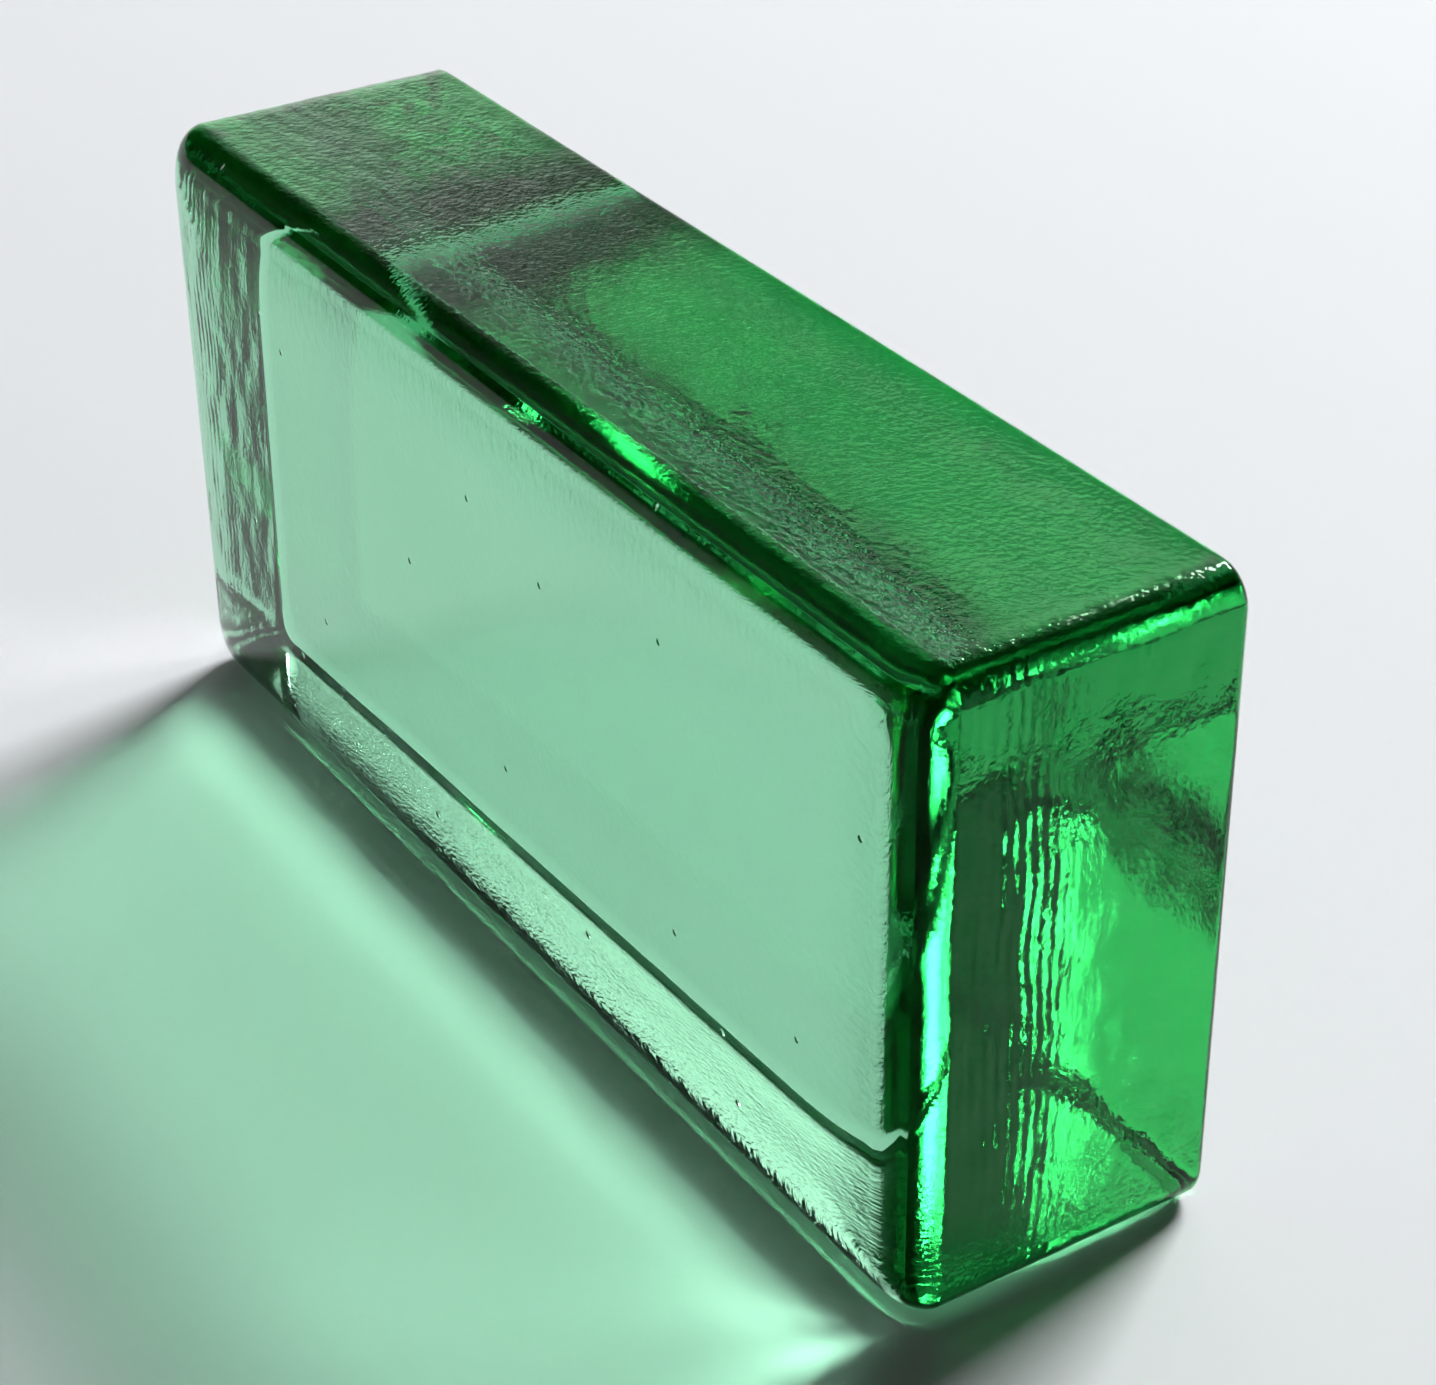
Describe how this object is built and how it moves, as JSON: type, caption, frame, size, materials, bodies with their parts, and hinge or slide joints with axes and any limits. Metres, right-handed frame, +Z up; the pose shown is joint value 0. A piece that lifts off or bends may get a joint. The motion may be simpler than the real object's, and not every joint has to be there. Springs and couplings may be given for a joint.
{
  "type": "solid glass brick",
  "caption": "Solid cast glass brick, green tinted, with a fire-polished face, rounded edges and flat bed and end faces for bonding into a wall.",
  "frame": {"origin": "centre of the long narrow side that the brick stands on", "axes": "+X along the length, +Y from the polished front to the mould-floor back, +Z up"},
  "size_m": [0.24, 0.06, 0.115],
  "materials": {
    "green_glass": "solid cast soda-lime glass, tinted green, polished front, chill-rippled mould faces"
  },
  "bodies": {
    "root": {"glass_brick": "green_glass"}
  },
  "joints": []
}
